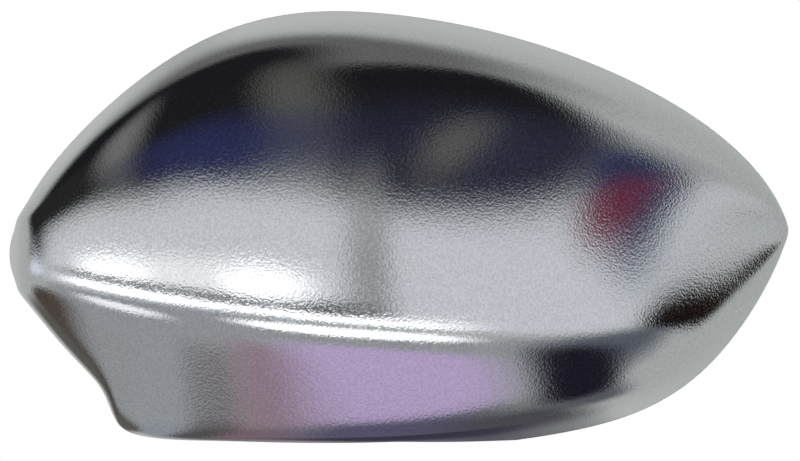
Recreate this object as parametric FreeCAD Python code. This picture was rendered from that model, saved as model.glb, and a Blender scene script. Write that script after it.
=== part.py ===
"""Cover of a car's left wing mirror: one moulded and plated shell, open at the back.

Millimetres, as fitted on the car: X points outboard, to the tip of the cover, Y to the rear and Z up.
The plane Y = 0 is the rim, which meets the mirror housing, and the cover bulges towards -Y.
The origin is on the axis of the main locating peg, in the rim plane.
"""
import FreeCAD, Part
import math
import os

from FreeCAD import Vector

# Overall form
length = 226.0            # along X, from the round inboard end to the tip
height = 127.5            # along Z, from the foot to the top of the arch
depth = 74.0              # of the body at the crown, some 3 mm more than the rounded skin reaches
crown_x = -10.0           # place of the crown along X
inboard_depth = 40.0      # depth that the body has left at the inboard end
tip_depth = 3.0           # and at the tip
crown_bow = 185.0         # radius of the body's curve along its length, at the crown
arch_radius = 150.0       # radius of the body's curve above the crease, seen from the side
wall = 2.5                # thickness of the moulding

# Edges and crease in the rim plane, as control points in shares of the length and the height
top_edge = [(-0.3991, 0.1365), (-0.3765, 0.2525), (-0.1854, 0.6039), (0.0699, 0.6322),
            (0.3726, 0.5027), (0.5540, 0.2831), (0.5850, 0.1412)]
crease = [(-0.4111, 0.0376), (-0.3363, -0.0196), (-0.1420, -0.0855), (0.0867, -0.1333),
          (0.4000, -0.1529), (0.5106, -0.0400), (0.5889, 0.1098)]
bottom_edge = [(-0.3978, -0.0251), (-0.3504, -0.1522), (-0.2717, -0.2541), (-0.2836, -0.3702),
               (-0.1345, -0.3749), (0.0912, -0.3922), (0.2938, -0.3608), (0.4827, -0.2690),
               (0.5708, -0.0016), (0.5863, 0.0910)]

# Walls: the slope is depth gained per millimetre in from the edge, and a high squareness is a tight shoulder.
# Each list runs from the inboard end to the tip.
top_slope = [8.0, 8.0, 6.0, 2.0]
top_squareness = [3.5, 3.5, 3.0, 2.0]
bottom_slope = [8.0, 26.0, 1.5, 2.0]
bottom_squareness = [3.0, 11.0, 3.0, 2.0]
inboard_slope = 8.0
inboard_squareness = 3.5
tip_slope = 2.0
tip_squareness = 1.8

# Crease: the lower face falls away below it, at this slope and over this blend, from inboard to tip
crease_fall = [0.75, 0.58, 0.60, 0.40]
crease_blend = [2.0, 2.6, 2.0, 0.7]

# Opening for the mirror's arm, cut through the lower wall up to the edge of the lower face
arm_inboard = -0.27 * length      # its ends along X, at the rim
arm_outboard = 0.239 * length
arm_middle = (-0.1416 * length, 0.0885 * length)      # between these the free edge runs straight
arm_depth_inboard = 0.392 * depth     # how far in front of the rim the free edge lies at the inboard end
arm_depth = 0.568 * depth             # and along the middle
arm_top = -0.2824 * height            # the cut reaches up to here, inside the lower face
arm_corner = 8.0

# Locating pegs: straight where they pass the rim plane, then tapered down to the skin, on four gussets each
peg_straight = 8.0        # length of the straight part in front of the rim
peg_back = 2.5            # and behind it
peg_taper = 0.03          # radius gained per millimetre towards the skin
peg_lead = 0.8            # chamfer of the free end
main_peg = (0.0, 0.0, 4.0)       # X, Z and radius
second_peg = (0.3805 * length, 0.11 * height, 3.0)
gusset_thickness = 1.8
gusset_reach = 10.0       # from the peg's axis, at the skin
gusset_setback = 20.0     # of the gussets' free end from the peg's end

# Snap hooks, each a tongue on two webs behind the wall
hook_width = 11.0
hook_thickness = 2.0
hook_inset = 8.0          # from the edge to the tongue's outer face
hook_back = 5.0           # how far the tongue stands behind the rim
nib_reach = 2.0
nib_length = 3.5
nib_ledge = 0.6
nib_overlap = 0.2         # of the nib with the tongue
nib_top = 0.3             # width of the nib at its free end
web_thickness = 1.6
web_setback = 14.0        # of the webs' free end in front of the rim
top_hooks = [0.13, 0.36, 0.58, 0.80]      # places along the top edge
bottom_hooks = [0.07, 0.66, 0.86]         # and along the bottom edge

# Fineness of the skins
steps_along = 44
steps_arch = 18
steps_face = 12
patch_ends_along = [0, 6, 14, 22, 30, 38, 44]
patch_ends_across = [0, 6, 12, 18, 24, 30]
crease_place = 0.62       # of the crease among the lines from the top edge to the bottom edge
end_rows = 8              # the crease's end moves in with the edge over one part in this many of its length
inner_squareness = 9.0    # of the change from an inner skin's walls to the rest of it
least_body = 1.0          # depth that a skin keeps next to its borders


def mixed(values, t):
    """Value at t from 0 to 1, as a smooth cubic mix of four values."""
    s = 1.0 - t
    return values[0] * s**3 + 3 * values[1] * s * s * t + 3 * values[2] * s * t * t + values[3] * t**3


def crowded(count):
    """Numbers from 0 to 1 that lie closer together towards both ends."""
    crowding = 0.88
    steps = [i / count for i in range(count + 1)]
    return [t - crowding * math.sin(2 * math.pi * t) / (2 * math.pi) for t in steps]


def edge_of(points):
    """Smooth edge in the rim plane from control points in shares of the length and the height."""
    curve = Part.BSplineCurve()
    curve.buildFromPoles([Vector(x * length, 0, z * height) for x, z in points])
    return curve.toShape()


def along_edge(edge, share):
    """Point and outward direction at a share of the edge's length."""
    place = edge.getParameterByLength(share * edge.Length)
    tangent = edge.tangentAt(place)
    outward = Vector(-tangent.z, 0, tangent.x)
    point = edge.valueAt(place)
    if outward.dot(point) < 0:
        outward = outward * -1
    return point, outward


top_line = edge_of(top_edge)
crease_line = edge_of(crease)
bottom_line = edge_of(bottom_edge)


def border_shift(slope, thickness):
    """How far the border of a skin moves in from the edge, when its sloping wall is a thickness further in."""
    return thickness * math.sqrt(1 + 1 / slope**2)


def plan(thickness):
    """Rows of points in the rim plane that fill the outline, moved in for a skin that lies a thickness inside.

    Each row is a parabola from the top edge through the crease to the bottom edge.
    """
    c = crease_place
    places = [c * v for v in crowded(steps_arch)] + [c + (1 - c) * v for v in crowded(steps_face)[1:]]
    rows = []
    for u in crowded(steps_along):
        top, top_out = along_edge(top_line, u)
        bottom, bottom_out = along_edge(bottom_line, u)
        middle = crease_line.valueAt(crease_line.getParameterByLength(u * crease_line.Length))
        top = top - top_out * border_shift(mixed(top_slope, u), thickness)
        bottom = bottom - bottom_out * border_shift(mixed(bottom_slope, u), thickness)
        inboard_share = max(1 - end_rows * u, 0) ** 3
        tip_share = max(1 - end_rows * (1 - u), 0) ** 3
        middle = middle - Vector(tip_share * border_shift(tip_slope, thickness), 0, 0)
        middle = middle + Vector(inboard_share * border_shift(inboard_slope, thickness), 0, 0)
        row = []
        for v in places:
            from_top = (v - c) * (v - 1) / c
            from_crease = v * (v - 1) / (c * (c - 1))
            from_bottom = v * (v - c) / (1 - c)
            row.append(top * from_top + middle * from_crease + bottom * from_bottom)
        rows.append(row)
    return rows


def body(point, crease_point, u):
    """Depth of the body before its walls, and its slopes along X and Z.

    The body is bowed along its length, arched above the crease, and falls away below it.
    """
    from_crown = point.x - crown_x
    outboard = from_crown > 0
    reach = length * crease[-1][0] - crown_x if outboard else crown_x - length * crease[0][0]
    end_depth = tip_depth if outboard else inboard_depth
    bow = 1 / (2 * crown_bow)
    steepening = (depth - end_depth - bow * reach**2) / reach**3
    along = depth - bow * from_crown**2 - steepening * abs(from_crown) ** 3
    slope_along = -2 * bow * from_crown - 3 * steepening * from_crown * abs(from_crown)
    above = point.z - crease_point.z
    arch = max(above, 0) ** 2 / (2 * arch_radius)
    blend = mixed(crease_blend, u)
    fall = mixed(crease_fall, u)
    below = fall * blend * math.log(1 + math.exp(-above / blend))
    slope_across = fall / (1 + math.exp(above / blend)) - max(above, 0) / arch_radius
    return max(along - arch - below, least_body), slope_along, slope_across


def wall_from(border_point, point, slope):
    """Depth of a wall that rises from a point of the border, and its slopes along X and Z."""
    away = point - border_point
    distance = max(away.Length, 1e-9)
    return slope * distance, slope * away.x / distance, slope * away.z / distance


def rounded_least(a, b, squareness):
    """The lesser of two depths, with a rounded change from one to the other, and its slopes."""
    if min(a[0], b[0]) < 1e-6:
        return 0.0, 0.0, 0.0
    least = (a[0] ** -squareness + b[0] ** -squareness) ** (-1 / squareness)
    share_a = (least / a[0]) ** (squareness + 1)
    share_b = (least / b[0]) ** (squareness + 1)
    return least, share_a * a[1] + share_b * b[1], share_a * a[2] + share_b * b[2]


def between_walls(inside, rows, i, j, point, u, squarenesses):
    """A depth cut off by the four walls that rise from the borders of the rows."""
    row = rows[i]
    walls = [wall_from(row[0], point, mixed(top_slope, u)), wall_from(row[-1], point, mixed(bottom_slope, u)),
             wall_from(rows[0][j], point, inboard_slope), wall_from(rows[-1][j], point, tip_slope)]
    for wall_depth, squareness in zip(walls, squarenesses):
        inside = rounded_least(inside, wall_depth, squareness)
    return inside


def skin(thickness):
    """Points of a skin, row by row, a thickness inside the outer surface.

    An inner skin is less deep than the outer one by the thickness, measured square to the outer surface, and
    has its own walls along its own borders.
    """
    outer_rows = plan(0)
    rows = plan(thickness)
    lines = []
    for i, u in enumerate(crowded(steps_along)):
        outer_squareness = [mixed(top_squareness, u), mixed(bottom_squareness, u), inboard_squareness, tip_squareness]
        line = []
        for j, point in enumerate(rows[i]):
            outer = body(point, rows[i][steps_arch], u)
            outer = between_walls(outer, outer_rows, i, j, point, u, outer_squareness)
            deep = outer[0]
            if thickness > 0:
                square = math.sqrt(1 + outer[1] ** 2 + outer[2] ** 2)
                inner = (max(deep - thickness * square, least_body), outer[1], outer[2])
                deep = between_walls(inner, rows, i, j, point, u, [inner_squareness] * 4)[0]
            line.append(Vector(point.x, -deep, point.z))
        lines.append(line)
    return lines


def patched(points):
    """Smooth surface through the points of a skin, as faces that join along its own lines."""
    surface = Part.BSplineSurface()
    surface.interpolate(points)
    along = surface.getUKnots()
    across = surface.getVKnots()
    faces = []
    for u_from, u_to in zip(patch_ends_along, patch_ends_along[1:]):
        for v_from, v_to in zip(patch_ends_across, patch_ends_across[1:]):
            piece = surface.copy()
            piece.segment(along[u_from], along[u_to], across[v_from], across[v_to])
            faces.append(piece.toShape())
    shell = Part.makeShell(faces)
    shell.sewShape()
    return shell


def border(shell):
    """Closed wire of the edges that belong to one face only."""
    seen = {}
    for face in shell.Faces:
        for edge in face.Edges:
            seen.setdefault(edge.hashCode(), []).append(edge)
    single = [edges[0] for edges in seen.values() if len(edges) == 1]
    return Part.Wire(Part.__sortEdges__(single))


def closed_solid(faces):
    """Solid inside a closed set of faces."""
    shell = Part.makeShell(faces)
    shell.sewShape()
    solid = Part.Solid(shell)
    if solid.Volume < 0:
        solid.reverse()
    return solid


def arm_opening():
    """Prism that cuts the lower wall away, with rounded front corners."""
    first, last = arm_middle
    outline = [(arm_inboard, depth), (arm_inboard, -arm_depth_inboard), (first, -arm_depth),
               (last, -arm_depth), (arm_outboard, 0.0), (arm_outboard, depth)]
    corners = [Vector(x, y, -height) for x, y in outline + outline[:1]]
    prism = Part.Face(Part.makePolygon(corners)).extrude(Vector(0, 0, height + arm_top))
    upright = [e for e in prism.Edges if abs(e.tangentAt(e.FirstParameter).z) > 0.99]
    rounded = [e for e in upright if e.BoundBox.YMax < -1 and e.BoundBox.XMax > arm_inboard + 1]
    return prism.makeFillet(arm_corner, rounded)


def turned_block(centre, along, length_along, width_across, front, back):
    """Block between two planes of Y, around a centre in the rim plane, with its length along a direction."""
    across = Vector(-along.z, 0, along.x)
    corners = [(-1, -1), (1, -1), (1, 1), (-1, 1), (-1, -1)]
    points = [centre + along * (a * length_along / 2) + across * (b * width_across / 2) for a, b in corners]
    outline = Part.makePolygon([Vector(p.x, front, p.z) for p in points])
    return Part.Face(outline).extrude(Vector(0, back - front, 0))


def snap_hook(edge, share):
    """Tongue with a nib that faces the wall, and the two webs that tie it to the wall and the skin."""
    point, outward = along_edge(edge, share)
    along = Vector(outward.z, 0, -outward.x)
    outer_face = point - outward * hook_inset
    middle = outer_face - outward * (hook_thickness / 2)
    tongue = turned_block(middle, along, hook_width, hook_thickness, -depth, 0)
    tongue_end = turned_block(middle, along, hook_width, hook_thickness, 0, hook_back)
    nib_start = outer_face - along * (hook_width / 2)
    ledge = hook_back - nib_length
    nib_profile = [(-nib_overlap, hook_back), (nib_top, hook_back), (nib_reach, ledge + nib_ledge),
                   (nib_reach, ledge), (-nib_overlap, ledge - nib_reach / 2)]
    corners = [nib_start + outward * out + Vector(0, y, 0) for out, y in nib_profile + nib_profile[:1]]
    nib = Part.Face(Part.makePolygon(corners)).extrude(along * hook_width)
    webs = []
    for side in (-1, 1):
        foot = point - outward * (hook_inset / 2) + along * (side * (hook_width - web_thickness) / 2)
        webs.append(turned_block(foot, along, web_thickness, hook_inset + hook_thickness, -depth, -web_setback))
    return [tongue] + webs, [tongue_end, nib]


def locating_peg(x, z, radius):
    """Tapered peg with a straight end and a lead-in, and its four gussets."""
    rear = Vector(0, 1, 0)
    taper_length = depth - peg_straight
    root = Part.makeCone(radius + peg_taper * taper_length, radius, taper_length, Vector(x, -depth, z), rear)
    straight = Part.makeCylinder(radius, peg_straight + peg_back, Vector(x, -peg_straight, z), rear)
    lead = Part.makeCone(radius, radius - peg_lead, peg_lead, Vector(x, peg_back, z), rear)
    reach = gusset_reach - radius + main_peg[2]
    profile = [Vector(0, -gusset_setback, 0), Vector(reach, -depth, 0), Vector(0, -depth, 0)]
    gussets = []
    for quarter in range(4):
        plate = Part.Face(Part.makePolygon(profile + profile[:1])).extrude(Vector(0, 0, gusset_thickness))
        plate.translate(Vector(0, 0, -gusset_thickness / 2))
        plate.rotate(Vector(0, 0, 0), rear, 90 * quarter)
        plate.translate(Vector(x, 0, z))
        gussets.append(plate)
    return [root] + gussets, [straight, lead]


def moulded_shell():
    """Wall between the outer and the inner skin, closed by the rim, with the opening for the arm."""
    outer = patched(skin(0))
    inner = patched(skin(wall))
    rim = Part.Face(border(outer)).cut(Part.Face(border(inner)))
    turned_inner = []
    for face in inner.Faces:
        face.reverse()
        turned_inner.append(face)
    shell = closed_solid(outer.Faces + turned_inner + rim.Faces)
    return shell.cut(arm_opening())


def inner_features():
    """All hooks and pegs, each in one piece, with their roots inside the wall."""
    middle_skin = patched(skin(wall / 2))
    core = closed_solid(middle_skin.Faces + [Part.Face(border(middle_skin))])
    rooted = []
    free = []
    for edge, shares in ((top_line, top_hooks), (bottom_line, bottom_hooks)):
        for share in shares:
            pieces, ends = snap_hook(edge, share)
            rooted += pieces
            free += ends
    for x, z, radius in (main_peg, second_peg):
        pieces, ends = locating_peg(x, z, radius)
        rooted += pieces
        free += ends
    pieces = [piece.common(core) for piece in rooted] + free
    return pieces[0].multiFuse(pieces[1:])


os.makedirs("parts", exist_ok=True)
cover = moulded_shell().fuse(inner_features()).removeSplitter()
print("cover: valid", cover.isValid(), "solids", len(cover.Solids), "volume", round(cover.Volume), "mm3")
cover.exportStep("parts/mirror_cover.step")
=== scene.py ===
"""Looks of the cover of a car's left wing mirror: one satin chromed shell, seen from the front of the car."""

import math

import bmesh
import bpy
import numpy as np
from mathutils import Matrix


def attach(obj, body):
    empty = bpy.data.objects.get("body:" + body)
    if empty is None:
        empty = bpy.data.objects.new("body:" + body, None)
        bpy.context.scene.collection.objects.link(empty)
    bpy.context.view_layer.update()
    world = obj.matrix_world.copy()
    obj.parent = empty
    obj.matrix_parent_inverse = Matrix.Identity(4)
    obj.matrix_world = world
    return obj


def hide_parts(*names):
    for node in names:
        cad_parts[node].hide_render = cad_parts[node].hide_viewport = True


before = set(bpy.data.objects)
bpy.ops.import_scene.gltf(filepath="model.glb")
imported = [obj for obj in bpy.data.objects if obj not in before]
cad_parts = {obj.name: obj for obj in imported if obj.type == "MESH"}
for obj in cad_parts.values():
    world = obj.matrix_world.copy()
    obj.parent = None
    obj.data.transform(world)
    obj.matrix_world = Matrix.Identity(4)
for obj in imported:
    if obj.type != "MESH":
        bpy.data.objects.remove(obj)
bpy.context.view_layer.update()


# The cover. One injection moulding in plastic, plated all over in satin chrome: a thin shell with a domed
# arch above a long crease and a flat lower face below it. It clips on to the mirror housing by its rim.
length = 226.0          # millimetres, as all lengths up to each piece's mesh
height = 127.5
depth = 74.0
crown_x = -10.0
inboard_depth = 40.0
tip_depth = 3.0
crown_bow = 185.0
arch_radius = 150.0
wall = 2.5
edge_radius = 0.45
inner_squareness = 9.0
least_body = 1.0
crease_place = 0.62     # share of a row at which it meets the crease
end_share = 0.125       # share of the rows at each end over which an inner skin's crease is moved in

top_edge = [(-0.3991, 0.1365), (-0.3765, 0.2525), (-0.1854, 0.6039), (0.0699, 0.6322),
            (0.3726, 0.5027), (0.5540, 0.2831), (0.5850, 0.1412)]
crease = [(-0.4111, 0.0376), (-0.3363, -0.0196), (-0.1420, -0.0855), (0.0867, -0.1333),
          (0.4000, -0.1529), (0.5106, -0.0400), (0.5889, 0.1098)]
bottom_edge = [(-0.3978, -0.0251), (-0.3504, -0.1522), (-0.2717, -0.2541), (-0.2836, -0.3702),
               (-0.1345, -0.3749), (0.0912, -0.3922), (0.2938, -0.3608), (0.4827, -0.2690),
               (0.5708, -0.0016), (0.5863, 0.0910)]

top_slope, top_squareness = [8.0, 8.0, 6.0, 2.0], [3.5, 3.5, 3.0, 2.0]
bottom_slope, bottom_squareness = [8.0, 26.0, 1.5, 2.0], [3.0, 11.0, 3.0, 2.0]
inboard_slope, inboard_squareness = 8.0, 3.5
tip_slope, tip_squareness = 2.0, 1.8
crease_fall, crease_blend = [0.75, 0.58, 0.60, 0.40], [2.0, 2.6, 2.0, 0.7]

arm_inboard, arm_outboard = -61.0, 54.0
arm_middle = (-32.0, 20.0)
arm_depth_inboard, arm_depth = 29.0, 42.0
arm_blend_inboard, arm_blend_outboard = 0.4, 2.5

rows_along, crowding_along = 236, 0.8
steps_arch, steps_face, steps_wall, crowding_across = 108, 50, 22, 0.9
wall_start = 0.88       # share of the body's depth at which the lower wall's even steps begin
least_wall = 0.2        # the least height of those steps, above the free edge
shoulder_from = 0.75    # share of a row from which the lower wall is looked for
edge_steps = 6000       # straight steps that stand for an edge's curve
halvings = 30


def mixed(values, t):
    """Bernstein mix of four values: the sum of value i times binomial(3, i) t^i (1-t)^(3-i)."""
    a, b, c, d = values
    s = 1 - t
    return a * s**3 + 3 * b * s * s * t + 3 * c * s * t * t + d * t**3


def crowded(count, crowding):
    """Even steps t from 0 to 1, moved to t - crowding sin(2 pi t) / (2 pi) to bunch at both ends."""
    t = np.linspace(0, 1, count + 1)
    return t - crowding * np.sin(2 * np.pi * t) / (2 * np.pi)


def edge_points(shares, along):
    """Points and outward directions of an edge at shares of its length.

    The edge is a clamped uniform cubic B-spline on its control points, by the Cox-de Boor sums.
    """
    poles = np.array(shares) * (length, height)
    spans = len(poles) - 3
    knots = np.concatenate([[0.0] * 3, np.arange(spans + 1), [spans] * 3])
    t = np.linspace(0, spans, edge_steps + 1)[:, None]
    basis = ((knots[:-1] <= t) & (t < knots[1:])).astype(float)
    basis[-1, len(poles) - 1] = 1
    for order in (1, 2, 3):
        low, high = knots[:-1 - order], knots[order + 1:]
        rise = np.maximum(knots[order:-1] - low, 1e-9)
        fall = np.maximum(high - knots[1:-order], 1e-9)
        basis = (t - low) / rise * basis[:, :-1] + (high - t) / fall * basis[:, 1:]
    curve = basis @ poles
    run = np.concatenate([[0], np.cumsum(np.hypot(*np.diff(curve, axis=0).T))])
    place = np.asarray(along) * run[-1]
    points = np.stack([np.interp(place, run, curve[:, 0]), np.interp(place, run, curve[:, 1])], -1)
    slope = np.gradient(curve, axis=0)
    normal = np.stack([-slope[:, 1], slope[:, 0]], -1) / np.hypot(*slope.T)[:, None]
    outward = normal * np.sign((normal * curve).sum(-1))[:, None]
    turned = np.stack([np.interp(place, run, outward[:, 0]), np.interp(place, run, outward[:, 1])], -1)
    return points, turned


def rounded_least(a, b, squareness):
    """The lesser of two depths, rounded where they cross: h = (a^-p + b^-p)^(-1/p), with its two slopes.

    Each depth comes with its slopes along X and Z. Those of h are the sum of theirs times (h/a)^(p+1) and
    (h/b)^(p+1).
    """
    depth_a, depth_b = np.maximum(a[0], 1e-6), np.maximum(b[0], 1e-6)
    least = (depth_a**-squareness + depth_b**-squareness) ** (-1 / squareness)
    share_a, share_b = (least / depth_a) ** (squareness + 1), (least / depth_b) ** (squareness + 1)
    return least, share_a * a[1] + share_b * b[1], share_a * a[2] + share_b * b[2]


def row_curves(u, thickness):
    """Where each row meets the top edge, the crease and the bottom edge, for a skin a thickness inside.

    A wall of slope m that lies a thickness t further in has its edge t sqrt(1 + 1/m^2) further in.
    """
    def shift(slope):
        return thickness * np.sqrt(1 + 1 / np.asarray(slope) ** 2)

    top, top_out = edge_points(top_edge, u)
    middle = edge_points(crease, u)[0]
    bottom, bottom_out = edge_points(bottom_edge, u)
    top = top - top_out * shift(mixed(top_slope, u))[:, None]
    bottom = bottom - bottom_out * shift(mixed(bottom_slope, u))[:, None]
    middle[:, 0] += np.maximum(1 - u / end_share, 0) ** 3 * shift(inboard_slope)
    middle[:, 0] -= np.maximum(1 - (1 - u) / end_share, 0) ** 3 * shift(tip_slope)
    return top, middle, bottom


def across(curves, v):
    """Point of the rim plane at share v of a row.

    It lies on the parabola through the row's top, crease and bottom points at v = 0, c and 1.
    """
    top, middle, bottom = (curve[:, None] for curve in curves)
    c = crease_place
    v = v[..., None]
    return top * (v - c) * (v - 1) / c + middle * v * (v - 1) / (c * (c - 1)) + bottom * v * (v - c) / (1 - c)


def body_depth(x, z, crease_z, u):
    """Depth of the body and its slopes along X and Z, with X counted from the crown and Z from the crease.

    It is depth - X^2/(2 bow) - k|X|^3 along the crown, where k brings it down to the depth of the two ends,
    less an arch Z^2/(2 R) above the crease and a softened ramp, fall w ln(1 + exp(-Z/w)), below it.
    """
    X, Z = x - crown_x, z - crease_z
    reach = np.where(X > 0, length * crease[-1][0] - crown_x, crown_x - length * crease[0][0])
    end_depth = np.where(X > 0, tip_depth, inboard_depth)
    k = (depth - end_depth - reach**2 / (2 * crown_bow)) / reach**3
    w, fall = mixed(crease_blend, u), mixed(crease_fall, u)
    arch = np.maximum(Z, 0) ** 2 / (2 * arch_radius)
    deep = depth - X**2 / (2 * crown_bow) - k * np.abs(X) ** 3 - arch - fall * w * np.logaddexp(0, -Z / w)
    slope_across = fall / (1 + np.exp(np.clip(Z / w, -50, 50))) - np.maximum(Z, 0) / arch_radius
    return np.maximum(deep, least_body), -X / crown_bow - 3 * k * X * np.abs(X), slope_across


def between_walls(inside, x, z, curves, ends, v, slopes, squarenesses):
    """A depth cut off by the four walls. A wall rises from its border as slope times the distance to it."""
    top, _, bottom = (curve[:, None] for curve in curves)
    first = across([curve[:1] for curve in ends], v)
    last = across([curve[1:] for curve in ends], v)
    for border, slope, squareness in zip((top, bottom, first, last), slopes, squarenesses):
        away_x, away_z = x - border[..., 0], z - border[..., 1]
        distance = np.maximum(np.hypot(away_x, away_z), 1e-9)
        wall_depth = (slope * distance, slope * away_x / distance, slope * away_z / distance)
        inside = rounded_least(inside, wall_depth, squareness)
    return inside


def skin(u, v, thickness):
    """Points (x, -depth, z) of a skin a thickness inside, at shares v of the rows u, and the body's depth.

    The outer skin is the body cut off by its walls. An inner skin is less deep by thickness
    sqrt(1 + slope^2), which is the thickness measured square to the outer skin, and has its own walls along
    its own borders.
    """
    two_ends = np.array([0.0, 1.0])
    outer_curves, outer_ends = row_curves(u, 0), row_curves(two_ends, 0)
    curves, ends = row_curves(u, thickness), row_curves(two_ends, thickness)
    plan = across(curves, v)
    x, z = plan[..., 0], plan[..., 1]
    crease_z = curves[1][:, None, 1]
    u = u[:, None]
    slopes = (mixed(top_slope, u), mixed(bottom_slope, u), inboard_slope, tip_slope)
    squarenesses = (mixed(top_squareness, u), mixed(bottom_squareness, u), inboard_squareness, tip_squareness)
    body = body_depth(x, z, crease_z, u)
    deep = between_walls(body, x, z, outer_curves, outer_ends, v, slopes, squarenesses)
    if thickness > 0:
        square = np.sqrt(1 + deep[1] ** 2 + deep[2] ** 2)
        inner_depth = (np.maximum(deep[0] - thickness * square, least_body), deep[1], deep[2])
        deep = between_walls(inner_depth, x, z, curves, ends, v, slopes, [inner_squareness] * 4)
    return np.stack([x, -deep[0], z], -1), body[0]


def soft_least(a, b, blend):
    """The lesser of two values, blended over a length: -blend ln(exp(-a/blend) + exp(-b/blend))."""
    return -blend * np.logaddexp(-a / blend, -b / blend)


def free_edge(x):
    """Depth of the lower wall's free edge in the opening for the arm, and 0 where the wall is whole."""
    first, last = arm_middle
    inboard = arm_depth_inboard + (x - arm_inboard) * (arm_depth - arm_depth_inboard) / (first - arm_inboard)
    outboard = arm_depth * (arm_outboard - x) / (arm_outboard - last)
    edge = soft_least(soft_least(inboard, arm_depth + 0 * x, arm_blend_inboard), outboard, arm_blend_outboard)
    return np.where(x > arm_inboard, np.maximum(edge, 0), 0)


def wall_shares(u, lowest, depths, thickness):
    """Shares v at which each row's lower wall has the given depths, by halving the range from lowest to 1."""
    low, high = lowest[:, None] + 0 * depths, 1 + 0 * depths
    for _ in range(halvings):
        middle = (low + high) / 2
        deeper = -skin(u, middle, thickness)[0][..., 1] > depths
        low, high = np.where(deeper, middle, low), np.where(deeper, high, middle)
    return low


def skin_grid(u, thickness):
    """Grid of a skin: each row u steps over the arch, over the face and down the wall to its free edge."""
    c = crease_place
    outer_bottom = edge_points(bottom_edge, u)[0][:, 0]
    stop = free_edge(outer_bottom) + edge_radius
    body = skin(u, np.full((len(u), 1), 1.0), thickness)[1]
    start = np.maximum(wall_start * body[:, 0], stop + least_wall)
    shoulder = wall_shares(u, np.full(len(u), shoulder_from), start[:, None], thickness)
    arch = np.broadcast_to(c * crowded(steps_arch, crowding_across), (len(u), steps_arch + 1))
    face = c + (shoulder - c) * crowded(steps_face, crowding_across)[None, 1:]
    down = start[:, None] + (stop - start)[:, None] * np.linspace(0, 1, steps_wall + 1)[None, 1:]
    low_wall = wall_shares(u, shoulder[:, 0], down, thickness)
    points = skin(u, np.concatenate([arch, face, low_wall], 1), thickness)[0]
    points[..., 1] = np.minimum(points[..., 1], -edge_radius)
    points[:, -1, 1] = -stop
    return points


def add_piece(name, points, faces):
    """Smooth piece in satin chrome that rides on the cover, from points in millimetres and lists of corners."""
    mesh = bpy.data.meshes.new(name)
    mesh.from_pydata((points * 0.001).tolist(), [], faces)
    mesh.polygons.foreach_set("use_smooth", np.ones(len(mesh.polygons), bool))
    mesh.materials.append(satin_chrome)
    piece = bpy.data.objects.new(name, mesh)
    bpy.context.scene.collection.objects.link(piece)
    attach(piece, "root")
    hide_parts("mirror_cover")
    return piece


def grid_faces(ids):
    """Quads between neighbours of a grid of vertex numbers."""
    return np.stack([ids[:-1, :-1], ids[:-1, 1:], ids[1:, 1:], ids[1:, :-1]], -1).reshape(-1, 4)


def ring(grid):
    """The border of a grid, once round."""
    return np.concatenate([grid[:-1, 0], grid[-1, :-1], grid[:0:-1, -1], grid[0, :0:-1]])


def plated_grain():
    """Node group of the plating's fine grain: a noise as its height, and a mask of its crests."""
    group = bpy.data.node_groups.new("plated_grain", "ShaderNodeTree")
    group.interface.new_socket("Place", in_out="INPUT", socket_type="NodeSocketVector")
    group.interface.new_socket("Fineness", in_out="INPUT", socket_type="NodeSocketFloat")
    group.interface.new_socket("Height", in_out="OUTPUT", socket_type="NodeSocketFloat")
    group.interface.new_socket("Crests", in_out="OUTPUT", socket_type="NodeSocketFloat")
    nodes, link = group.nodes, group.links.new
    entry, leave = nodes.new("NodeGroupInput"), nodes.new("NodeGroupOutput")
    noise = nodes.new("ShaderNodeTexNoise")
    noise.inputs["Detail"].default_value = 1.0
    link(entry.outputs["Place"], noise.inputs["Vector"])
    link(entry.outputs["Fineness"], noise.inputs["Scale"])
    crests = nodes.new("ShaderNodeMapRange")
    crests.inputs["From Min"].default_value = 0.35
    crests.inputs["From Max"].default_value = 0.65
    link(noise.outputs["Fac"], crests.inputs["Value"])
    link(noise.outputs["Fac"], leave.inputs["Height"])
    link(crests.outputs["Result"], leave.inputs["Crests"])
    return group


def chrome_finish(name, fineness, relief, roughness, spread, pits, crests):
    """Satin chrome: a metal mirror with the grain as relief, rougher and brighter on crests than in pits."""
    finish = bpy.data.materials.new(name)
    finish.use_nodes = True
    nodes, link = finish.node_tree.nodes, finish.node_tree.links.new
    surface = nodes["Principled BSDF"]
    surface.inputs["Metallic"].default_value = 1.0
    place = nodes.new("ShaderNodeTexCoord")
    grain = nodes.new("ShaderNodeGroup")
    grain.node_tree = plating
    grain.inputs["Fineness"].default_value = fineness
    link(place.outputs["Object"], grain.inputs["Place"])
    bump = nodes.new("ShaderNodeBump")
    bump.inputs["Distance"].default_value = relief
    link(grain.outputs["Height"], bump.inputs["Height"])
    link(bump.outputs["Normal"], surface.inputs["Normal"])
    sheen = nodes.new("ShaderNodeMapRange")
    sheen.inputs["To Min"].default_value = roughness
    sheen.inputs["To Max"].default_value = roughness + spread
    link(grain.outputs["Crests"], sheen.inputs["Value"])
    link(sheen.outputs["Result"], surface.inputs["Roughness"])
    tint = nodes.new("ShaderNodeMix")
    tint.data_type = "RGBA"
    tint.inputs[6].default_value = (*pits, 1)
    tint.inputs[7].default_value = (*crests, 1)
    link(grain.outputs["Crests"], tint.inputs["Factor"])
    link(tint.outputs[2], surface.inputs["Base Color"])
    return finish


plating = plated_grain()
satin_chrome = chrome_finish("satin_chrome", fineness=1500.0, relief=0.000027, roughness=0.065, spread=0.04,
                             pits=(0.66, 0.67, 0.68), crests=(0.79, 0.80, 0.81))

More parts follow.
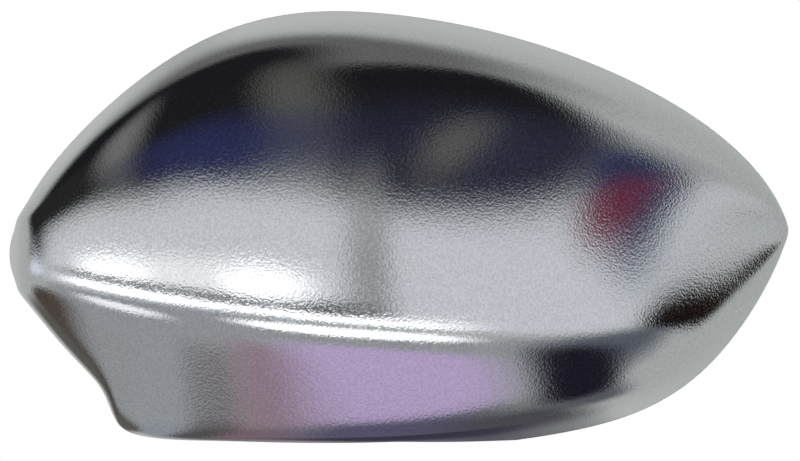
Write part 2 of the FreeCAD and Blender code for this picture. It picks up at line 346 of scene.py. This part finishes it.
# Rows: crowded at the two ends, with a close pair where the arm opening begins. That place is looked for away
# from the two ends, where the bottom edge turns back
near_end, pair_gap, pair_clear = 60, 4e-4, 1e-3
even_rows = crowded(rows_along, crowding_along)
middle_rows = even_rows[near_end:rows_along - near_end]
begin = np.interp(arm_inboard, edge_points(bottom_edge, even_rows)[0][near_end:rows_along - near_end, 0],
                  middle_rows)
kept_rows = even_rows[np.abs(even_rows - begin) > pair_clear]
rows = np.sort(np.concatenate([kept_rows, [begin - pair_gap, begin + pair_gap]]))
outer = skin_grid(rows, 0)
inner = skin_grid(rows, wall)

# The rim between the skins: a quarter round, a flat and a quarter round, swept along both borders
outer_ring, inner_ring = ring(outer), ring(inner)
inward = inner_ring - outer_ring
inward[:, 1] = 0
inward /= np.linalg.norm(inward, axis=1, keepdims=True)
rear = np.array([0.0, 1.0, 0.0])
turn = np.radians([22.5, 45, 67.5, 90])[:, None, None]
outer_round = outer_ring + edge_radius * ((1 - np.cos(turn)) * inward + np.sin(turn) * rear)
inner_round = inner_ring + edge_radius * (-(1 - np.cos(turn)) * inward + np.sin(turn) * rear)
strip = np.concatenate([outer_round, inner_round[::-1]])

count = outer.shape[0] * outer.shape[1]
outer_ids = np.arange(count).reshape(outer.shape[:2])
inner_ids = outer_ids + count
strip_ids = 2 * count + np.arange(strip.shape[0] * strip.shape[1]).reshape(strip.shape[:2])
sweep = np.concatenate([ring(outer_ids)[None], strip_ids, ring(inner_ids)[None]])
sweep = np.concatenate([sweep, sweep[:, :1]], 1)
cover_points = np.concatenate([outer.reshape(-1, 3), inner.reshape(-1, 3), strip.reshape(-1, 3)])
cover_faces = np.concatenate([grid_faces(outer_ids)[:, ::-1], grid_faces(inner_ids), grid_faces(sweep)])
add_piece("cover_shell", cover_points, cover_faces.tolist())


# Snap hooks. Seven moulded tongues along the rim, each with a nib that faces the wall and catches in a slot
# of the housing. Two webs tie each tongue to the wall and to the skin, and the tongue stands proud of the rim.
hook_width, hook_thickness, hook_inset, hook_back = 11.0, 2.0, 8.0, 5.0
nib_reach, nib_length, nib_ledge, nib_overlap, nib_top = 2.0, 3.5, 0.6, 0.2, 0.3
web_thickness, web_setback, web_root = 1.6, 14.0, 1.5
top_hooks, bottom_hooks = [0.13, 0.36, 0.58, 0.80], [0.07, 0.66, 0.86]
hook_bevel = 0.3
root_depth = 1.2        # how far roots reach into the wall
least_stand = 0.3       # a plate begins where its back stands this far out of the roots
trial_places = 160      # places along a plate that are tried for that


def on_skin(plan):
    """Depth at which a root ends: that of the inner skin's nearest grid point, and the root's own depth."""
    grid = inner.reshape(-1, 3)
    gap = (plan[:, None, 0] - grid[None, :, 0]) ** 2 + (plan[:, None, 1] - grid[None, :, 2]) ** 2
    return -grid[gap.argmin(1), 1] + root_depth


def standing_plate(start, end, thickness, back_start, back_end, stations=13):
    """Plate between two plan points: a rectangle of its thickness carried along, from the skin to its back.

    The back runs straight from back_start to back_end. Places where it lies under the skin are left out.
    """
    along = (end - start) / np.linalg.norm(end - start)
    aside = np.array([-along[1], along[0]]) * thickness / 2
    t = np.linspace(0, 1, trial_places)[:, None]
    line = start + (end - start) * t
    back = back_start + (back_end - back_start) * t[:, 0]
    clear = np.flatnonzero(-on_skin(line) < back - least_stand)
    pick = np.linspace(clear[0], clear[-1], stations).round().astype(int)
    line, back = line[pick], back[pick]
    left, right = line + aside, line - aside
    corners = [(left, -on_skin(left)), (left, back), (right, back), (right, -on_skin(right))]
    loop = np.stack([np.stack([plan[:, 0], y, plan[:, 1]], -1) for plan, y in corners], 1)
    return closed_sweep(loop)


def closed_sweep(loop):
    """Loops of points, one per station, joined by quads and closed by a flat face at each end, as quads."""
    stations, corners = loop.shape[:2]
    ids = np.arange(stations * corners).reshape(stations, corners)
    sides = grid_faces(np.concatenate([ids, ids[:, :1]], 1))
    return loop.reshape(-1, 3), sides, [ids[0].tolist(), ids[-1, ::-1].tolist()]


def add_solids(name, solids, bevel):
    """One piece from several closed solids, with its faces turned outwards and its corners bevelled."""
    points, faces, start = [], [], 0
    for corner_points, quads, caps in solids:
        points.append(corner_points)
        faces += (quads + start).tolist() + [[corner + start for corner in cap] for cap in caps]
        start += len(corner_points)
    piece = add_piece(name, np.concatenate(points), faces)
    shape = bmesh.new()
    shape.from_mesh(piece.data)
    bmesh.ops.recalc_face_normals(shape, faces=shape.faces)
    shape.to_mesh(piece.data)
    shape.free()
    soften = piece.modifiers.new("soften", "BEVEL")
    soften.width = bevel * 0.001
    soften.segments = 2
    soften.limit_method = "ANGLE"
    soften.angle_limit = math.radians(40)
    soften.harden_normals = True


hook_solids = []
for edge, shares in ((top_edge, top_hooks), (bottom_edge, bottom_hooks)):
    for point, outward in zip(*edge_points(edge, shares)):
        along = np.array([outward[1], -outward[0]])
        face = point - outward * hook_inset
        middle = face - outward * hook_thickness / 2
        side = along * hook_width / 2
        hook_solids.append(standing_plate(middle - side, middle + side, hook_thickness, hook_back, hook_back))
        ledge = hook_back - nib_length
        nib = np.array([(-nib_overlap, hook_back), (nib_top, hook_back), (nib_reach, ledge + nib_ledge),
                        (nib_reach, ledge), (-nib_overlap, ledge - nib_reach / 2)])
        plan = face + outward * nib[:, :1]
        profile = np.stack([plan[:, 0], nib[:, 1], plan[:, 1]], -1)
        across_nib = np.array([along[0], 0, along[1]]) * hook_width / 2
        hook_solids.append(closed_sweep(np.stack([profile - across_nib, profile + across_nib])))
        for place in (-1, 1):
            foot = along * place * (hook_width - web_thickness) / 2
            hook_solids.append(standing_plate(point - outward * web_root + foot, middle + foot, web_thickness,
                                              -web_setback, -web_setback))
add_solids("snap_hooks", hook_solids, hook_bevel)


# Locating pegs. Two moulded pegs that centre the cover in the housing: straight where they pass the rim plane,
# with a chamfered end, and tapered down to the skin, where four gussets hold each.
peg_straight, peg_back, peg_lead, peg_taper, peg_bevel = 8.0, 2.5, 0.8, 0.03, 0.25
peg_sides = 48
main_peg, second_peg = (0.0, 0.0, 4.0), (86.0, 14.0, 3.0)
gusset_thickness, gusset_reach, gusset_setback = 1.8, 10.0, 20.0


def turned_peg(x, z, radius):
    """Peg turned about its axis: a circle of points at each height, the first circle following the skin."""
    angle = np.linspace(0, 2 * np.pi, peg_sides, endpoint=False)
    circle = np.stack([np.cos(angle), np.sin(angle)], -1)
    root = on_skin(np.array([x, z]) + radius * circle)
    heights = [-root, -peg_straight + 0 * root, peg_back + 0 * root, peg_back + peg_lead + 0 * root]
    radii = [radius + peg_taper * (root - peg_straight), radius + 0 * root, radius + 0 * root,
             radius - peg_lead + 0 * root]
    loops = [np.stack([x + r * circle[:, 0], y, z + r * circle[:, 1]], -1) for y, r in zip(heights, radii)]
    return closed_sweep(np.stack(loops))


peg_solids = []
for x, z, radius in (main_peg, second_peg):
    peg_solids.append(turned_peg(x, z, radius))
    axis = np.array([x, z])
    reach = gusset_reach - radius + main_peg[2]
    for direction in ((1, 0), (0, 1), (-1, 0), (0, -1)):
        peg_solids.append(standing_plate(axis, axis + np.array(direction) * reach, gusset_thickness,
                                         -gusset_setback, -depth))
add_solids("locating_pegs", peg_solids, peg_bevel)


# Camera: the cover is seen square from the front of the car, at a long focal length
scale = 0.2905          # millimetres to a pixel, in the rim plane
picture_width, sensor_width = 800, 36.0
distance = 1500.0
camera_data = bpy.data.cameras.new("camera")
camera_data.sensor_width = sensor_width
camera_data.lens = sensor_width * distance / (picture_width * scale)
camera = bpy.data.objects.new("camera", camera_data)
camera.location = (0.0203, -distance * 0.001, 0.0144)
camera.rotation_euler = (math.radians(90), 0, 0)
bpy.context.scene.collection.objects.link(camera)
bpy.context.scene.camera = camera


# The room that the chrome reflects: a pale table all round, a dark ceiling with curtains above, a pale wall
# with a sill and four tubes in front, coloured cloths and a dark floor in columns below. Each is a soft patch
# at a direction, given by how far it turns across and up from straight ahead of the cover, in degrees.
room = bpy.data.worlds.new("room")
room.use_nodes = True
nodes, link = room.node_tree.nodes, room.node_tree.links.new
room.cycles.sampling_method = "NONE"
bpy.context.scene.world = room


def sums(tree, operation, first, second=None):
    """A Math node in a tree: the operation on two values, each a socket or a number."""
    node = tree.nodes.new("ShaderNodeMath")
    node.operation = operation
    for socket, value in zip(node.inputs, (first, second)):
        if isinstance(value, bpy.types.NodeSocket):
            tree.links.new(value, socket)
        elif value is not None:
            socket.default_value = value
    return node.outputs[0]


def soft_patch():
    """Node group that lays a colour over another in a soft patch, a turned oval or box, at a direction.

    The place is moved to the centre, turned, and divided by the half sizes. The mask falls smoothly from 1
    to 0 as (|x|^n + |y|^n)^(1/n) goes from 1 - softness to 1 + softness.
    """
    group = bpy.data.node_groups.new("soft_patch", "ShaderNodeTree")
    for label in ("Across", "Up", "Centre across", "Centre up", "Half width", "Half height", "Turn", "Softness",
                  "Squareness"):
        group.interface.new_socket(label, in_out="INPUT", socket_type="NodeSocketFloat")
    for label in ("Under", "Colour"):
        group.interface.new_socket(label, in_out="INPUT", socket_type="NodeSocketColor")
    group.interface.new_socket("Colour", in_out="OUTPUT", socket_type="NodeSocketColor")
    entry, leave = group.nodes.new("NodeGroupInput").outputs, group.nodes.new("NodeGroupOutput")
    x = sums(group, "SUBTRACT", entry["Across"], entry["Centre across"])
    y = sums(group, "SUBTRACT", entry["Up"], entry["Centre up"])
    angle = sums(group, "RADIANS", entry["Turn"])
    cosine, sine = sums(group, "COSINE", angle), sums(group, "SINE", angle)
    along = sums(group, "ADD", sums(group, "MULTIPLY", x, cosine), sums(group, "MULTIPLY", y, sine))
    aside = sums(group, "SUBTRACT", sums(group, "MULTIPLY", y, cosine), sums(group, "MULTIPLY", x, sine))
    shares = [sums(group, "DIVIDE", sums(group, "ABSOLUTE", along), entry["Half width"]),
              sums(group, "DIVIDE", sums(group, "ABSOLUTE", aside), entry["Half height"])]
    powers = [sums(group, "POWER", share, entry["Squareness"]) for share in shares]
    root = sums(group, "DIVIDE", 1.0, entry["Squareness"])
    radius = sums(group, "POWER", sums(group, "ADD", *powers), root)
    mask = group.nodes.new("ShaderNodeMapRange")
    mask.interpolation_type = "SMOOTHSTEP"
    mask.inputs["To Min"].default_value = 1.0
    mask.inputs["To Max"].default_value = 0.0
    group.links.new(radius, mask.inputs["Value"])
    group.links.new(sums(group, "SUBTRACT", 1.0, entry["Softness"]), mask.inputs["From Min"])
    group.links.new(sums(group, "ADD", 1.0, entry["Softness"]), mask.inputs["From Max"])
    blend = group.nodes.new("ShaderNodeMix")
    blend.data_type = "RGBA"
    group.links.new(mask.outputs["Result"], blend.inputs["Factor"])
    group.links.new(entry["Under"], blend.inputs[6])
    group.links.new(entry["Colour"], blend.inputs[7])
    group.links.new(blend.outputs[2], leave.inputs["Colour"])
    return group


# The angle from straight ahead, shared out along and up by the direction's own sideways parts
patch_group = soft_patch()
tree = room.node_tree
direction = nodes.new("ShaderNodeSeparateXYZ")
link(nodes.new("ShaderNodeTexCoord").outputs["Generated"], direction.inputs["Vector"])
room_x, room_y, room_z = direction.outputs
off_axis = sums(tree, "DEGREES", sums(tree, "ARCCOSINE", sums(tree, "MULTIPLY", room_y, -1.0)))
squares = sums(tree, "ADD", sums(tree, "MULTIPLY", room_x, room_x), sums(tree, "MULTIPLY", room_z, room_z))
sideways = sums(tree, "MAXIMUM", 1e-4, sums(tree, "SQRT", squares))
degrees = sums(tree, "DIVIDE", off_axis, sideways)
turned_across = sums(tree, "MULTIPLY", room_x, degrees)
turned_up = sums(tree, "MULTIPLY", room_z, degrees)

white_table = (0.51, 0.52, 0.51)
lit = nodes.new("ShaderNodeRGB")
lit.outputs[0].default_value = (*white_table, 1)
seen = lit.outputs[0]
patches = [
    # name, centre across and up, half width and height, turn, softness, squareness, colour
    ("table near the cover", 0, 0, 158, 158, 0, 0.10, 2.0, (0.48, 0.50, 0.49)),
    ("dusk", -27, 92, 80, 46, -12, 0.30, 2.5, (0.15, 0.15, 0.145)),
    ("dark ceiling", -52, 66, 60, 46, 0, 0.17, 3.5, (0.014, 0.014, 0.016)),
    ("dark ceiling, right", 33, 45, 24, 27, 19, 0.20, 3.0, (0.012, 0.012, 0.014)),
    ("dark ceiling, left", -94, 29, 32, 26, 14, 0.30, 2.5, (0.022, 0.022, 0.022)),
    ("grey streak, left", -57, 55, 10, 30, 22, 0.8, 2.0, (0.19, 0.19, 0.185)),
    ("grey streak, middle", 5, 50, 6, 18, 16, 1.0, 2.0, (0.11, 0.11, 0.10)),
    ("blue curtain, left", -14, 35.5, 26, 7.5, 4, 0.8, 2.0, (0.030, 0.033, 0.105)),
    ("blue curtain, right", 40, 33, 22, 11, -8, 1.0, 2.0, (0.032, 0.031, 0.060)),
    ("grey streak, right", 34, 36, 4, 7, -40, 1.0, 2.0, (0.13, 0.13, 0.12)),
    ("olive floor", -92, -98, 42, 44, 0, 0.30, 3.0, (0.125, 0.120, 0.110)),
    ("grey column", -42, -112, 12, 56, 0, 0.30, 4.0, (0.33, 0.35, 0.385)),
    ("mauve column", -19, -112, 13, 57, 0, 0.40, 4.0, (0.25, 0.165, 0.195)),
    ("grey seam", -28, -112, 7, 57, 0, 0.60, 4.0, (0.10, 0.10, 0.10)),
    ("violet column", 15, -112, 24, 62, 0, 0.35, 4.0, (0.120, 0.105, 0.180)),
    ("slate column", 44, -112, 18, 56, 0, 0.60, 3.0, (0.085, 0.085, 0.095)),
    ("dark floor edge", 16, -152, 28, 18, 0, 0.40, 3.0, (0.05, 0.045, 0.07)),
    ("slate column, right", 64, -76, 12, 26, 12, 0.50, 2.5, (0.12, 0.12, 0.14)),
    ("shade below the tubes", -16, -36, 74, 23, 4, 0.10, 5.0, (0.36, 0.37, 0.385)),
    ("pale wall", 28, 10.5, 50, 12.5, -5, 0.36, 5.0, (0.69, 0.71, 0.75)),
    ("pale wall, left", -42, 0.7, 49, 20.5, 9, 0.27, 4.0, (0.69, 0.71, 0.73)),
    ("slate corner", 66, -26, 17, 19, 0, 0.5, 2.5, (0.12, 0.13, 0.16)),
    ("blue shade", 63, 23, 5.5, 11.5, 21, 0.4, 2.2, (0.030, 0.036, 0.095)),
    ("red cushion", 61, 19.6, 4.8, 4.0, 30, 0.65, 2.0, (0.17, 0.028, 0.058)),
    ("grey joint", 19, 12, 4, 16, 0, 0.7, 2.0, (0.36, 0.36, 0.36)),
    ("pink cloth", -10, -59, 9, 5, 0, 0.8, 2.0, (0.34, 0.23, 0.29)),
    ("lilac cloth", 16, -51.5, 22, 8.6, 12, 0.42, 3.0, (0.57, 0.44, 0.70)),
    ("window sill", -32, 6, 37, 4.2, 4, 0.35, 3.0, (1.10, 1.10, 1.12)),
    ("sun on the sill, left", -50, 4, 13, 3.6, 4, 0.6, 2.0, (1.8, 1.8, 1.85)),
    ("sun on the sill, right", -2, 7, 9, 4, 4, 0.6, 2.0, (1.8, 1.8, 1.85)),
    ("tube, middle", -46, -10.5, 28, 5.5, 4, 0.4, 2.5, (1.9, 1.9, 1.95)),
    ("tube, middle right", 5, -4.5, 30, 3.4, 8, 0.4, 2.5, (1.9, 1.9, 1.95)),
    ("tube, lower right", 11, -22, 24, 7, 18, 0.4, 2.5, (1.9, 1.9, 1.95)),
    ("tube, lower left", -54, -40, 16, 5.5, -6, 0.5, 2.5, (1.2, 1.2, 1.25)),
    ("joint above the tubes", -30, -0.3, 46, 2.1, 2, 0.5, 4.0, (0.23, 0.23, 0.24)),
    ("dark joint", 12, 2.2, 9, 2.6, 8, 0.6, 2.0, (0.12, 0.12, 0.12)),
    ("lamp, left", -104, -6, 12, 9, -10, 0.7, 2.0, (0.80, 0.82, 0.95)),
    ("brown shelf", -95, -52, 20, 13, -25, 0.5, 2.0, (0.09, 0.07, 0.06)),
    ("dark corner", 58, -48, 12, 23, 8, 0.4, 2.2, (0.014, 0.012, 0.022)),
    ("brown door", 86.5, -17, 7.5, 28, 33, 0.2, 2.2, (0.012, 0.007, 0.006)),
]
for name, across_at, up_at, half_width, half_height, turn, softness, squareness, colour in patches:
    patch = nodes.new("ShaderNodeGroup")
    patch.node_tree = patch_group
    patch.label = name
    link(turned_across, patch.inputs["Across"])
    link(turned_up, patch.inputs["Up"])
    values = (across_at, up_at, half_width, half_height, turn, softness, squareness)
    for socket, value in zip(patch.inputs[2:9], values):
        socket.default_value = value
    link(seen, patch.inputs["Under"])
    patch.inputs["Colour"].default_value = (*colour, 1)
    seen = patch.outputs["Colour"]

# The camera itself sees plain white behind the cover
by_camera = nodes.new("ShaderNodeMix")
by_camera.data_type = "RGBA"
by_camera.inputs[7].default_value = (1, 1, 1, 1)
link(nodes.new("ShaderNodeLightPath").outputs["Is Camera Ray"], by_camera.inputs["Factor"])
link(seen, by_camera.inputs[6])
link(by_camera.outputs[2], nodes["Background"].inputs["Color"])

bpy.context.scene.view_settings.view_transform = "Standard"
